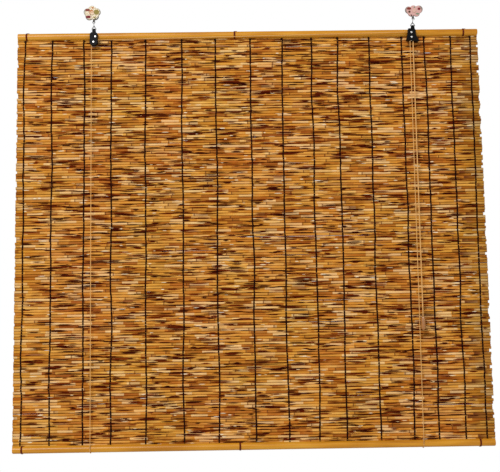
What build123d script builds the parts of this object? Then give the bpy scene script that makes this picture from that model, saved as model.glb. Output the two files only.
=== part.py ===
from build123d import *
import os
from math import asin, atan2, cos, pi, radians, sin, sqrt, tan

# Reed roll-up blind on two pulley blocks, hung from two stick-on wall hooks.
# Millimetres. X runs to the right, -Y into the room and Z up. The origin is in the wall plane,
# midway across the blind, at the height of the left hook plate's centre.
# A depth is a distance from the wall into the room, so y = -depth.

# Head rail, bottom rail and reed mat
RAIL_LENGTH = 1000.0
RAIL_DROP = 57.2
LATH_HEIGHT = 15.0
FRONT_LATH_THICKNESS = 7.0
BACK_LATH_THICKNESS = 5.0
LATH_END_RADIUS = 2.5
WALL_GAP = 4.5
SEAT_GAP = 0.15
REED_COUNT = 157
REED_PITCH = 5.7
REED_THICKNESS = 5.7
REED_WEB = 2.4
CROWN_SHARE = 0.44
REED_OVERHANG = 1.5
RAGGED_END = 5.0
TOP_EDGE_COVER = 7.0

# Slits of daylight where a thin reed leaves its neighbour
SLIT_COUNT = 36
SLIT_LENGTH = 9.0
SLIT_HEIGHT = 1.3

# Warp cords that stitch the reeds, by their place from the middle as a share of the rail's length
WARP_SHARES = [
    -0.4849, -0.4255, -0.3564, -0.2978, -0.2244, -0.1452, -0.0720, 0.0040,
    0.0722, 0.1373, 0.1935, 0.2632, 0.3349, 0.3847, 0.4409, 0.4841,
]
WARP_WIDTH = 3.4
WARP_THICKNESS = 1.1

# Lashings that tie the laths to the mat, also as shares of the rail's length
LASHING_SHARES = {"left": -0.4808, "middle": -0.0297, "right": 0.4692}
LASHING_WIDTH = 3.6
LASHING_THICKNESS = 1.3

# Cords
CORD_DIAMETER = 1.6
CORD_GAP = 0.3
CORD_HOLE_RADIUS = 1.5
ANCHOR_OFFSET = 4.0
KNOT_RADIUS = 1.6
KNOT_POCKET_RADIUS = 1.9
KNOT_POCKET_DEPTH = 3.4
ANCHOR_BEND_RADIUS = 2.5
UNDER_BEND_RADIUS = 8.0
PULL_CORD_DROP = 620.0
TURN_STUB = 2.0

# Sheaves and their blocks
PLATE_THICKNESS = 2.0
COVER_THICKNESS = 1.6
RIM_THICKNESS = 1.5
SHEAVE_WIDTH = 4.0
SIDE_PLAY = 0.3
BORE_PLAY = 0.1
PIN_RADIUS = 1.5
FLANGE_LIP = 1.0
LEFT_SHEAVE_X = -0.3345 * RAIL_LENGTH
LEFT_SHEAVE_DROP = 16.5
LEFT_CORD_RADIUS = 4.8
RIGHT_SHEAVE_X = 0.3538 * RAIL_LENGTH
RIGHT_SHEAVE_DROP = 4.7
RIGHT_CORD_RADIUS = 3.4
LEFT_SCREW_X = LEFT_SHEAVE_X + 4.1
LEFT_SCREW_DROP = 4.7
DIMPLE_X = LEFT_SHEAVE_X - 3.5
DIMPLE_DROP = 2.2
DIMPLE_RADIUS = 1.2
DIMPLE_DEPTH = 0.6
LEFT_BLOCK_WIDTH = 17.0
LEFT_BLOCK_TOP = 5.3
LEFT_BLOCK_BOTTOM = 24.7
LEFT_BLOCK_ROUND = 8.9
LEFT_BLOCK_X = LEFT_SHEAVE_X + 0.2
RIGHT_BLOCK_TOP = 4.5
RIGHT_BLOCK_SHOULDER = 0.3
RIGHT_BLOCK_WAIST = 10.7
RIGHT_BLOCK_FLARE = 21.1
RIGHT_BLOCK_BOTTOM = 24.7
RIGHT_BLOCK_LEFT = 8.6
RIGHT_BLOCK_RIGHT = 9.6
RIGHT_BLOCK_LEFT_FOOT = 11.6
RIGHT_BLOCK_RIGHT_FOOT = 15.4
RIGHT_BLOCK_CORNER = 1.6
SHOULDER = 3.5
HEAD_RADIUS = 2.3
HEAD_RIM = 0.4
HEAD_DOME = 0.7
TAIL_HEIGHT = 0.6
NUT_WIDTH = 5.5
NUT_THICKNESS = 2.2
BOLT_END = 0.6

# Cord lock inside the right block
LOCK_DROP = 15.1
LOCK_PIN_RADIUS = 1.1
LOCK_HUB_RADIUS = 2.0
LOCK_REACH = 6.0
LOCK_TIP_HALF = 1.3
LOCK_TEETH = 3
LOCK_TOOTH = 0.35

# Neck of a block and the wire ring in it
NECK_WIDTH = 8.0
BARREL_RISE = 13.3
BARREL_LENGTH = 4.8
BARREL_RADIUS = 1.8
RING_WIRE = 1.5
RING_BASE = 10.4
RING_HEIGHT = 6.7
RING_CORNER_RADIUS = 0.9
RING_TOP_RADIUS = 1.6
RING_SEAT_GAP = 0.15
RIGHT_NECK_X = RIGHT_SHEAVE_X + 4.8

# Twisted link between ring and wall hook
LINK_WIRE = 1.1
LOWER_EYE_RADIUS = 2.0
UPPER_EYE_RADIUS = 2.6
LINK_SHANK = 4.4
LINK_LEAN = {"left": -3.0, "right": 10.0}

# Wall hooks
HOOK_WIRE = 2.2
HOOK_BEND_RADIUS = 5.0
HOOK_BACK_ANGLE = 40.0
HOOK_TIP_ANGLE = 70.0
HOOK_SEAT_GAP = 0.3
HOOK_ROOT_DEPTH = 2.6
PAD_THICKNESS = 1.0
HOOK_PLATE_THICKNESS = 3.5
HOOK_PLATE_EDGE = 1.1
LEFT_PLATE_X = LEFT_SHEAVE_X - 7.0
RIGHT_PLATE_X = RIGHT_SHEAVE_X + 12.7
RIGHT_PLATE_DROP = 2.8
PETAL_COUNT = 5
PETAL_RADIUS = 8.7
PETAL_SPREAD_X = 10.2
PETAL_SPREAD_Z = 8.2
BUTTON_RADIUS = 4.6
BUTTON_HEIGHT = 0.9
CLOUD_LOBES = [
    (-11.4, 2.2, 8.0), (-1.0, 4.4, 8.1), (10.8, 3.6, 8.6), (5.2, -4.4, 8.0), (-6.0, -4.6, 7.6),
]

# Pull knob
KNOB_RADIUS = 5.2
KNOB_LENGTH = 27.0
KNOB_NECK_RADIUS = 3.6
KNOB_WIDEST_DROP = 19.5
KNOB_FOOT_RADIUS = 1.8
KNOB_HOLE_DEPTH = 7.0
KNOB_HOLE_PLAY = 0.15

# Depths from the wall, from back to front
CORD_RADIUS = CORD_DIAMETER / 2
HALF_HEIGHT = LATH_HEIGHT / 2
BACK_CROWN = WALL_GAP
BACK_FLAT = BACK_CROWN + BACK_LATH_THICKNESS
MAT_BACK = BACK_FLAT + SEAT_GAP
MAT_FRONT = MAT_BACK + REED_THICKNESS
MAT_MIDDLE = (MAT_BACK + MAT_FRONT) / 2
FRONT_FLAT = MAT_FRONT + SEAT_GAP
FRONT_CROWN = FRONT_FLAT + FRONT_LATH_THICKNESS
PLATE_BACK = FRONT_CROWN + SEAT_GAP
PLATE_FRONT = PLATE_BACK + PLATE_THICKNESS
HANG_DEPTH = (PLATE_BACK + PLATE_FRONT) / 2
INNER_SHEAVE = PLATE_FRONT + SIDE_PLAY + SHEAVE_WIDTH / 2
OUTER_SHEAVE = INNER_SHEAVE + SHEAVE_WIDTH + SIDE_PLAY
LEFT_RIM_FRONT = INNER_SHEAVE + SHEAVE_WIDTH / 2 + SIDE_PLAY
RIGHT_RIM_FRONT = OUTER_SHEAVE + SHEAVE_WIDTH / 2 + SIDE_PLAY
LEFT_COVER_FRONT = LEFT_RIM_FRONT + COVER_THICKNESS
RIGHT_COVER_FRONT = RIGHT_RIM_FRONT + COVER_THICKNESS
BACK_RUN = BACK_CROWN - CORD_RADIUS - CORD_GAP
FRONT_RUN = FRONT_CROWN + CORD_RADIUS + CORD_GAP

# Places along the rail
WARP_PLACES = [share * RAIL_LENGTH for share in WARP_SHARES]
LASHING_PLACES = {side: share * RAIL_LENGTH for side, share in LASHING_SHARES.items()}

# Heights
RAIL_Z = -RAIL_DROP
MAT_TOP = RAIL_Z + TOP_EDGE_COVER
MAT_BOTTOM = MAT_TOP - REED_COUNT * REED_PITCH
BOTTOM_RAIL_Z = MAT_BOTTOM + TOP_EDGE_COVER
LEFT_SHEAVE_Z = RAIL_Z - LEFT_SHEAVE_DROP
RIGHT_SHEAVE_Z = RAIL_Z - RIGHT_SHEAVE_DROP
BARREL_Z = RAIL_Z + BARREL_RISE
RING_TOP_Z = BARREL_Z + RING_HEIGHT
LOWER_EYE_Z = RING_TOP_Z - RING_WIRE / 2 - LINK_WIRE / 2 - RING_SEAT_GAP + LOWER_EYE_RADIUS
UPPER_EYE_Z = LOWER_EYE_Z + LOWER_EYE_RADIUS + LINK_SHANK + UPPER_EYE_RADIUS
LEFT_STRAND_X = LEFT_SHEAVE_X - LEFT_CORD_RADIUS
RIGHT_STRAND_X = RIGHT_SHEAVE_X - RIGHT_CORD_RADIUS
PULL_STRAND_X = RIGHT_SHEAVE_X + RIGHT_CORD_RADIUS
STRAND_Z = {"left": LEFT_SHEAVE_Z - TURN_STUB, "right": RIGHT_SHEAVE_Z - TURN_STUB}
KNOB_TOP = RAIL_Z - PULL_CORD_DROP

os.makedirs("parts", exist_ok=True)


def save(name, shape):
    export_step(shape, f"parts/{name}.step")


def along_depth(x, z):
    return Axis((x, 0, z), (0, 1, 0))


def slab(face, depth, thickness):
    # Extrudes a sketch drawn in (x, z) from a depth towards the room.
    return extrude(Plane.XZ.offset(depth) * face, amount=thickness)


def drill(x, z, radius, start, end):
    return slab(Pos(x, z) * Circle(radius), start, end - start)


def turned(x, z, outline):
    # Revolves an outline of (depth, radius) points about a line that runs into the room.
    points = [(-depth, radius) for depth, radius in outline]
    face = make_face(Polyline(*points, close=True))
    return revolve(Plane.YZ.offset(x) * Pos(0, z) * face, axis=along_depth(x, z))


def headed_pin(x, z, radius, seat, tail):
    # Pin from the tail to the seat, with a low domed head that stands on the seat.
    crown = HEAD_RADIUS * 0.45
    points = [
        (-tail, 0), (-tail, radius), (-seat, radius), (-seat, HEAD_RADIUS),
        (-seat - HEAD_RIM, HEAD_RADIUS),
    ]
    top = (-seat - HEAD_RIM - HEAD_DOME, crown)
    shoulder = ThreePointArc(
        points[-1], (-seat - HEAD_RIM - HEAD_DOME * 0.72, (HEAD_RADIUS + crown) * 0.56), top
    )
    close = Polyline(top, (top[0], 0), points[0])
    face = make_face(Curve() + [Polyline(*points), shoulder, close])
    return revolve(Plane.YZ.offset(x) * Pos(0, z) * face, axis=along_depth(x, z))


def tube(path, radius):
    return sweep(Plane(origin=path @ 0, z_dir=path % 0) * Circle(radius), path=path)


def cord_tube(name, path):
    # Round cord along straight runs and tangent arcs. Its arcs and its volume are printed.
    cord = tube(path, CORD_RADIUS)
    arcs = path.edges().filter_by(GeomType.CIRCLE)
    bends = [round(arc.radius, 2) for arc in arcs]
    true_volume = pi * CORD_RADIUS**2 * path.length
    print(name, round(path.length, 1), "mm, bends", bends, "volume", cord.volume / true_volume)
    return cord


# Laths


def lath_face(z, flat, crown):
    # Half-round section of a split cane, drawn in (y, z).
    bottom = (-flat, z - HALF_HEIGHT)
    top = (-flat, z + HALF_HEIGHT)
    return make_face(Curve() + [Line(bottom, top), ThreePointArc(top, (-crown, z), bottom)])


def lath(z, flat, crown):
    bar = extrude(Plane.YZ * lath_face(z, flat, crown), amount=RAIL_LENGTH / 2, both=True)
    ends = RectangleRounded(RAIL_LENGTH, LATH_HEIGHT, LATH_END_RADIUS)
    front, back = max(flat, crown), min(flat, crown)
    return bar & slab(Pos(0, z) * ends, back, front - back)


def bolt_holes(start, end):
    radius = PIN_RADIUS + BORE_PLAY
    left = drill(LEFT_SCREW_X, RAIL_Z - LEFT_SCREW_DROP, radius, start, end)
    return left + drill(RIGHT_SHEAVE_X, RIGHT_SHEAVE_Z, radius, start, end)


def cord_anchor(x):
    # Hole through the back lath with a pocket for the knot on its flat side.
    pocket = drill(x, RAIL_Z, KNOT_POCKET_RADIUS, BACK_FLAT - KNOT_POCKET_DEPTH, BACK_FLAT)
    return pocket + drill(x, RAIL_Z, CORD_HOLE_RADIUS, BACK_CROWN, BACK_FLAT)


head_front = lath(RAIL_Z, FRONT_FLAT, FRONT_CROWN) - bolt_holes(FRONT_FLAT, FRONT_CROWN)
head_back = lath(RAIL_Z, BACK_FLAT, BACK_CROWN) - bolt_holes(BACK_CROWN, BACK_FLAT)
for strand_x in (LEFT_STRAND_X, RIGHT_STRAND_X):
    head_back -= cord_anchor(strand_x - ANCHOR_OFFSET)
save("head_rail_front", head_front)
save("head_rail_back", head_back)
save("bottom_rail_front", lath(BOTTOM_RAIL_Z, FRONT_FLAT, FRONT_CROWN))
save("bottom_rail_back", lath(BOTTOM_RAIL_Z, BACK_FLAT, BACK_CROWN))


# Lashings


def rail_face(z):
    # Outline of both laths with the mat between them.
    top, bottom = z + HALF_HEIGHT, z - HALF_HEIGHT
    front = ThreePointArc((-FRONT_FLAT, top), (-FRONT_CROWN, z), (-FRONT_FLAT, bottom))
    back = ThreePointArc((-BACK_FLAT, bottom), (-BACK_CROWN, z), (-BACK_FLAT, top))
    over = Line((-BACK_FLAT, top), (-FRONT_FLAT, top))
    under = Line((-FRONT_FLAT, bottom), (-BACK_FLAT, bottom))
    return make_face(Curve() + [front, under, back, over])


def lashing(x, z):
    inner = offset(rail_face(z), amount=SEAT_GAP)
    band = offset(rail_face(z), amount=SEAT_GAP + LASHING_THICKNESS) - inner
    return extrude(Plane.YZ.offset(x) * band, amount=LASHING_WIDTH / 2, both=True)


for side, place in LASHING_PLACES.items():
    save(f"head_lashing_{side}", lashing(place, RAIL_Z))
    save(f"bottom_lashing_{side}", lashing(place, BOTTOM_RAIL_Z))


# Reed mat: one wall of ridges, ragged at both ends, with slits between some reeds


def reed_level(index):
    return MAT_TOP - index * REED_PITCH


def scatter(index, step):
    # Even spread of values from 0 to 1 with no visible order.
    return (index * step) % 1


def mat_face():
    # Section in (y, z). Each reed has three facets on either side of the web.
    web = REED_WEB / 2
    crown = REED_THICKNESS / 2
    half_facet = REED_PITCH * CROWN_SHARE / 2
    ridge = [(web, MAT_TOP)]
    for index in range(REED_COUNT):
        middle = (reed_level(index) + reed_level(index + 1)) / 2
        ridge += [(crown, middle + half_facet), (crown, middle - half_facet)]
        ridge.append((web, reed_level(index + 1)))
    mirrored = [(-y, z) for y, z in reversed(ridge)]
    return make_face(Polyline(*ridge, *mirrored, close=True))


def mat_outline():
    # Stepped outline in (x, z): every reed ends at its own length, most of them near the longest.
    reach = RAIL_LENGTH / 2 + REED_OVERHANG
    left, right = [], []
    for index in range(REED_COUNT):
        left_end = -reach + RAGGED_END * scatter(index**2, 0.618) ** 3
        right_end = reach - RAGGED_END * scatter(index**2, 0.414) ** 3
        left += [(left_end, reed_level(index)), (left_end, reed_level(index + 1))]
        right += [(right_end, reed_level(index)), (right_end, reed_level(index + 1))]
    return make_face(Polyline(*left, *reversed(right), close=True))


def slit(x, z):
    # Pointed gap between two reeds that bow away from each other.
    tip, lip, half = SLIT_LENGTH / 2, SLIT_LENGTH / 5, SLIT_HEIGHT / 2
    upper = [(-tip, 0), (-lip, half), (lip, half), (tip, 0)]
    return Pos(x, z) * make_face(Polyline(*upper, (lip, -half), (-lip, -half), close=True))


def slits():
    # Daylight shows beside a warp cord, where the stitch holds two reeds apart.
    found = []
    first, last = 8, REED_COUNT - 8
    for index in range(SLIT_COUNT):
        level = first + int((last - first) * scatter(index + 1, 0.618))
        warp = WARP_PLACES[1 + int((len(WARP_PLACES) - 2) * scatter(index + 1, 0.732))]
        side = 1 if index % 2 else -1
        middle = warp + side * (SLIT_LENGTH / 2 + WARP_WIDTH / 2)
        found.append(slit(middle, reed_level(level)))
    return found


def lashing_slot(x, z):
    width = LASHING_WIDTH + 2 * SEAT_GAP
    height = LASHING_THICKNESS + 3 * SEAT_GAP
    return Pos(x, z) * Rectangle(width, height)


mat = extrude(Plane.YZ * Pos(-MAT_MIDDLE, 0) * mat_face(), amount=RAIL_LENGTH, both=True)
mat &= slab(mat_outline(), MAT_BACK, REED_THICKNESS)
band_offset = HALF_HEIGHT + SEAT_GAP + LASHING_THICKNESS / 2
cuts = slits()
for place in LASHING_PLACES.values():
    cuts.append(lashing_slot(place, RAIL_Z - band_offset))
    cuts.append(lashing_slot(place, BOTTOM_RAIL_Z + band_offset))
mat -= [slab(cut, MAT_BACK, REED_THICKNESS) for cut in cuts]
mat -= bolt_holes(MAT_BACK, MAT_FRONT)
save("reed_mat", mat)


# Warp cords: a strand on each face of the mat, between the head rail and the bottom rail

warp_top = RAIL_Z - HALF_HEIGHT - CORD_GAP
warp_bottom = BOTTOM_RAIL_Z + HALF_HEIGHT + CORD_GAP
warp_strand = Pos(0, (warp_top + warp_bottom) / 2) * Rectangle(WARP_WIDTH, warp_top - warp_bottom)
for number, place in enumerate(WARP_PLACES, 1):
    strand = Pos(place, 0) * warp_strand
    front = slab(strand, MAT_FRONT + SEAT_GAP, WARP_THICKNESS)
    back = slab(strand, MAT_BACK - SEAT_GAP - WARP_THICKNESS, WARP_THICKNESS)
    save(f"warp_cord_{number:02d}", Compound([*front.solids(), *back.solids()]))


# Sheaves


def sheave(x, z, depth, cord_radius):
    # Grooved wheel whose groove holds the cord's centre line at cord_radius.
    half = SHEAVE_WIDTH / 2
    bore = PIN_RADIUS + BORE_PLAY
    floor = cord_radius - CORD_RADIUS - CORD_GAP
    rim = cord_radius + FLANGE_LIP
    land = half * 0.3
    outline = [
        (depth - half, bore), (depth - half, rim), (depth - half + land, rim),
        (depth - CORD_RADIUS, floor), (depth + CORD_RADIUS, floor),
        (depth + half - land, rim), (depth + half, rim), (depth + half, bore),
    ]
    return turned(x, z, outline)


save("left_sheave", sheave(LEFT_SHEAVE_X, LEFT_SHEAVE_Z, INNER_SHEAVE, LEFT_CORD_RADIUS))
for name, depth in (("right_sheave_inner", INNER_SHEAVE), ("right_sheave_outer", OUTER_SHEAVE)):
    save(name, sheave(RIGHT_SHEAVE_X, RIGHT_SHEAVE_Z, depth, RIGHT_CORD_RADIUS))


# Pulley blocks


def left_block_face(shrink=0.0):
    # Straight-sided top on a round bottom, in (x, z).
    height = LEFT_BLOCK_TOP + LEFT_BLOCK_BOTTOM - LEFT_BLOCK_ROUND
    middle = RAIL_Z + LEFT_BLOCK_TOP - height / 2
    body = Pos(LEFT_BLOCK_X, middle) * Rectangle(LEFT_BLOCK_WIDTH, height)
    body = chamfer(body.vertices().group_by(Axis.Y)[-1], SHOULDER)
    round_end = Pos(LEFT_BLOCK_X, RAIL_Z - LEFT_BLOCK_BOTTOM + LEFT_BLOCK_ROUND)
    face = body + round_end * Circle(LEFT_BLOCK_ROUND)
    return offset(face, amount=-shrink) if shrink else face


def right_block_face(shrink=0.0):
    # Bell shape that flares towards the cord exit, in (x, z).
    top_half = RIGHT_BLOCK_LEFT - SHOULDER / 2
    points = [
        (-top_half, RIGHT_BLOCK_TOP), (top_half, RIGHT_BLOCK_TOP),
        (RIGHT_BLOCK_RIGHT, -RIGHT_BLOCK_SHOULDER), (RIGHT_BLOCK_RIGHT, -RIGHT_BLOCK_WAIST),
        (RIGHT_BLOCK_RIGHT_FOOT, -RIGHT_BLOCK_FLARE), (RIGHT_BLOCK_RIGHT_FOOT, -RIGHT_BLOCK_BOTTOM),
        (-RIGHT_BLOCK_LEFT_FOOT, -RIGHT_BLOCK_FLARE), (-RIGHT_BLOCK_LEFT, -RIGHT_BLOCK_WAIST),
    ]
    face = make_face(Polyline(*points, close=True))
    face = fillet(face.vertices(), RIGHT_BLOCK_CORNER)
    face = Pos(RIGHT_SHEAVE_X, RAIL_Z) * face
    return offset(face, amount=-shrink) if shrink else face


def neck(x, block_top):
    # Tongue that rises from the back plate and ends in the barrel for the ring.
    shoulder = BARREL_Z - BARREL_RADIUS * 0.75
    foot = block_top - SHOULDER
    tongue = Pos(x, (shoulder + foot) / 2) * Rectangle(NECK_WIDTH, shoulder - foot)
    web = Pos(x, (BARREL_Z + foot) / 2) * Rectangle(BARREL_LENGTH, BARREL_Z - foot)
    across = Plane.YZ.offset(x) * Pos(-HANG_DEPTH, BARREL_Z)
    barrel = extrude(across * Circle(BARREL_RADIUS), amount=BARREL_LENGTH / 2, both=True)
    bore = extrude(across * Circle(RING_WIRE / 2 + BORE_PLAY), amount=NECK_WIDTH, both=True)
    return slab(tongue + web, PLATE_BACK, PLATE_THICKNESS) + barrel, bore


def back_plate(face, neck_x, holes):
    block_top = face.bounding_box().max.Y
    tongue, bore = neck(neck_x, block_top)
    plate = slab(face, PLATE_BACK, PLATE_THICKNESS) + tongue - bore
    for x, z, radius in holes:
        plate -= drill(x, z, radius + BORE_PLAY, PLATE_BACK, PLATE_FRONT)
    return plate


def cover(outer, inner, rim_front, holes, openings):
    # Front shell: a plate with a rim that stands on the back plate.
    depth = rim_front - PLATE_FRONT
    shell = slab(outer, PLATE_FRONT, depth + COVER_THICKNESS)
    shell = fillet(shell.faces().sort_by(Axis.Y)[0].edges(), 0.8)
    shell -= slab(inner, PLATE_FRONT, depth)
    for x, z, width, height in openings:
        shell -= slab(Pos(x, z) * Rectangle(width, height), PLATE_FRONT, depth)
    for x, z, radius in holes:
        shell -= drill(x, z, radius + BORE_PLAY, rim_front, rim_front + COVER_THICKNESS)
    return shell


def crossing_level(x):
    # Height of the cord that runs taut between the tops of the two inner sheaves.
    across = RIGHT_SHEAVE_X - LEFT_SHEAVE_X
    rise = RIGHT_SHEAVE_Z - LEFT_SHEAVE_Z
    lean = asin((LEFT_CORD_RADIUS - RIGHT_CORD_RADIUS) / sqrt(across**2 + rise**2))
    slope = atan2(rise, across) - lean
    return LEFT_SHEAVE_Z + LEFT_CORD_RADIUS / cos(slope) + (x - LEFT_SHEAVE_X) * tan(slope)


mouth = 2 * CORD_DIAMETER
side_reach = LEFT_BLOCK_WIDTH / 2
left_holes = [
    (LEFT_SHEAVE_X, LEFT_SHEAVE_Z, PIN_RADIUS),
    (LEFT_SCREW_X, RAIL_Z - LEFT_SCREW_DROP, PIN_RADIUS),
]
left_openings = [
    (LEFT_STRAND_X, RAIL_Z - LEFT_BLOCK_BOTTOM, mouth, LEFT_BLOCK_ROUND),
    (LEFT_BLOCK_X + side_reach, crossing_level(LEFT_BLOCK_X), side_reach, mouth),
]
save("left_block_plate", back_plate(left_block_face(), LEFT_BLOCK_X, left_holes))
left_shell = left_block_face(), left_block_face(RIM_THICKNESS)
left_cover = cover(*left_shell, LEFT_RIM_FRONT, left_holes, left_openings)
dimple_floor = LEFT_COVER_FRONT - DIMPLE_DEPTH
left_cover -= drill(DIMPLE_X, RAIL_Z - DIMPLE_DROP, DIMPLE_RADIUS, dimple_floor, LEFT_COVER_FRONT)
save("left_block_cover", left_cover)

lock_z = RAIL_Z - LOCK_DROP
right_holes = [
    (RIGHT_SHEAVE_X, RIGHT_SHEAVE_Z, PIN_RADIUS),
    (RIGHT_SHEAVE_X, lock_z, LOCK_PIN_RADIUS),
]
right_bottom = right_block_face().bounding_box().min.Y
right_openings = [
    (RIGHT_SHEAVE_X, right_bottom, 2 * RIGHT_CORD_RADIUS + mouth, LEFT_BLOCK_ROUND),
    (RIGHT_SHEAVE_X - side_reach, crossing_level(RIGHT_SHEAVE_X), side_reach, mouth),
]
save("right_block_plate", back_plate(right_block_face(), RIGHT_NECK_X, right_holes))
right_shell = right_block_face(), right_block_face(RIM_THICKNESS)
save("right_block_cover", cover(*right_shell, RIGHT_RIM_FRONT, right_holes, right_openings))


# Screws, rivets and nuts


def through_bolt(x, z, front):
    # Shank from the cover to behind the nut, with a domed head on the cover.
    tail = BACK_CROWN - SEAT_GAP - NUT_THICKNESS - BOLT_END
    return headed_pin(x, z, PIN_RADIUS, front, tail)


def rivet(x, z, radius, front):
    # Pin that is also headed behind the back plate.
    foot = drill(x, z, HEAD_RADIUS, PLATE_BACK - TAIL_HEIGHT, PLATE_BACK)
    return headed_pin(x, z, radius, front, PLATE_BACK - TAIL_HEIGHT) + foot


def nut(x, z):
    hexagon = RegularPolygon(NUT_WIDTH / 2, 6, major_radius=False)
    blank = slab(Pos(x, z) * hexagon, BACK_CROWN - SEAT_GAP - NUT_THICKNESS, NUT_THICKNESS)
    return blank - drill(x, z, PIN_RADIUS + BORE_PLAY, 0, BACK_CROWN)


left_screw_z = RAIL_Z - LEFT_SCREW_DROP
save("left_block_screw", through_bolt(LEFT_SCREW_X, left_screw_z, LEFT_COVER_FRONT))
save("left_screw_nut", nut(LEFT_SCREW_X, left_screw_z))
save("left_sheave_rivet", rivet(LEFT_SHEAVE_X, LEFT_SHEAVE_Z, PIN_RADIUS, LEFT_COVER_FRONT))
save("right_axle_bolt", through_bolt(RIGHT_SHEAVE_X, RIGHT_SHEAVE_Z, RIGHT_COVER_FRONT))
save("right_bolt_nut", nut(RIGHT_SHEAVE_X, RIGHT_SHEAVE_Z))
save("lock_cam_rivet", rivet(RIGHT_SHEAVE_X, lock_z, LOCK_PIN_RADIUS, RIGHT_COVER_FRONT))


# Lock cam: a toothed pawl that hangs between the strands and swings against the pull cords


def lock_cam():
    tooth_pitch = (LOCK_REACH - LOCK_HUB_RADIUS) / LOCK_TEETH
    teeth = []
    for tooth in range(LOCK_TEETH):
        level = -LOCK_REACH + tooth * tooth_pitch
        teeth += [(LOCK_TIP_HALF, level), (LOCK_TIP_HALF - LOCK_TOOTH, level + tooth_pitch * 0.8)]
    arm = make_face(Polyline((-LOCK_TIP_HALF, -LOCK_REACH), *teeth, (0, 0), close=True))
    face = Pos(RIGHT_SHEAVE_X, lock_z) * (arm + Circle(LOCK_HUB_RADIUS))
    start = PLATE_FRONT + SIDE_PLAY
    cam = slab(face, start, RIGHT_RIM_FRONT - SIDE_PLAY - start)
    return cam - drill(RIGHT_SHEAVE_X, lock_z, LOCK_PIN_RADIUS + BORE_PLAY, start, RIGHT_RIM_FRONT)


save("lock_cam", lock_cam())


# Hangers: a wire ring in each neck and a twisted link above it


def wire_ring(x):
    # Triangular ring. Its base runs through the barrel of the neck.
    half = RING_BASE / 2
    low = RING_HEIGHT - RING_TOP_RADIUS
    tip = half * (half * low + RING_TOP_RADIUS * sqrt(half**2 + low**2 - RING_TOP_RADIUS**2))
    tip /= half**2 - RING_TOP_RADIUS**2
    corners = [(-half, 0), (0, tip), (half, 0)]
    points = [(x + dx, -HANG_DEPTH, BARREL_Z + dz) for dx, dz in corners]
    radii = [RING_TOP_RADIUS, RING_CORNER_RADIUS]
    start = (x, -HANG_DEPTH, BARREL_Z)
    sides = FilletPolyline(
        start, points[0], points[1], points[2], (x + 0.001, -HANG_DEPTH, BARREL_Z),
        radius=[RING_CORNER_RADIUS, *radii],
    )
    path = Wire([*sides.edges(), Edge.make_line(sides @ 1, start)])
    return tube(path, RING_WIRE / 2)


def twisted_link(x, lean):
    # Lower eye edge-on to the room, upper eye facing it, on one short shank.
    wire = LINK_WIRE / 2
    lower = Pos(0, 0, LOWER_EYE_Z) * Rot(0, 90, 0) * Torus(LOWER_EYE_RADIUS, wire)
    upper = Pos(0, 0, UPPER_EYE_Z) * Rot(90, 0, 0) * Torus(UPPER_EYE_RADIUS, wire)
    foot = LOWER_EYE_Z + LOWER_EYE_RADIUS
    shank = Pos(0, 0, foot + LINK_SHANK / 2) * Cylinder(wire, LINK_SHANK)
    link = lower + upper + shank
    link = link.rotate(Axis((0, 0, RING_TOP_Z), (0, 1, 0)), lean)
    return Pos(x, -HANG_DEPTH, 0) * link


def hook_x(neck_x, lean):
    # The wall hook stands over the upper eye of the leaning link.
    return neck_x + (UPPER_EYE_Z - RING_TOP_Z) * sin(radians(lean))


necks = {"left": LEFT_BLOCK_X, "right": RIGHT_NECK_X}
for side, neck_x in necks.items():
    save(f"{side}_hanger_ring", wire_ring(neck_x))
    save(f"{side}_hanger_link", twisted_link(neck_x, LINK_LEAN[side]))


# Wall hooks: adhesive pad, ornamental plate and J-shaped wire


def blossom():
    petals = Circle(PETAL_RADIUS)
    for petal in range(PETAL_COUNT):
        angle = radians(90 + petal * 360 / PETAL_COUNT)
        petals += Pos(PETAL_SPREAD_X * cos(angle), PETAL_SPREAD_Z * sin(angle)) * Circle(PETAL_RADIUS)
    return petals


def cloud():
    lobes = [Pos(x, z) * Circle(radius) for x, z, radius in CLOUD_LOBES]
    return Sketch() + lobes


def hook_plate(face, x, z):
    plate = slab(Pos(x, z) * face, PAD_THICKNESS, HOOK_PLATE_THICKNESS)
    plate = fillet(plate.faces().sort_by(Axis.Y)[0].edges(), HOOK_PLATE_EDGE)
    raised = HOOK_PLATE_THICKNESS + BUTTON_HEIGHT
    button = slab(Pos(x, z) * Circle(BUTTON_RADIUS), PAD_THICKNESS, raised)
    button = fillet(button.faces().sort_by(Axis.Y)[0].edges(), BUTTON_HEIGHT * 0.8)
    return plate + button


def hook_path(x):
    # From inside the plate down to the bend that carries the link, and up to the tip. Both bends
    # share one axis, at the mean height of the two links.
    leans = [cos(radians(lean)) for lean in LINK_LEAN.values()]
    eye_rise = (UPPER_EYE_Z - RING_TOP_Z) * sum(leans) / len(leans) + UPPER_EYE_RADIUS
    bend_z = RING_TOP_Z + eye_rise - (LINK_WIRE + HOOK_WIRE) / 2 - HOOK_SEAT_GAP + HOOK_BEND_RADIUS
    back, tip = radians(HOOK_BACK_ANGLE), radians(HOOK_TIP_ANGLE)

    def on_bend(angle):
        y = -HANG_DEPTH - HOOK_BEND_RADIUS * sin(angle)
        return (x, y, bend_z - HOOK_BEND_RADIUS * cos(angle))

    rear = on_bend(-back)
    run = -rear[1] - HOOK_ROOT_DEPTH
    root = (x, -HOOK_ROOT_DEPTH, rear[2] + run * tan(back))
    bend = ThreePointArc(rear, on_bend((tip - back) / 2), on_bend(tip))
    return Wire([Edge.make_line(root, rear), bend.edge()])


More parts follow.
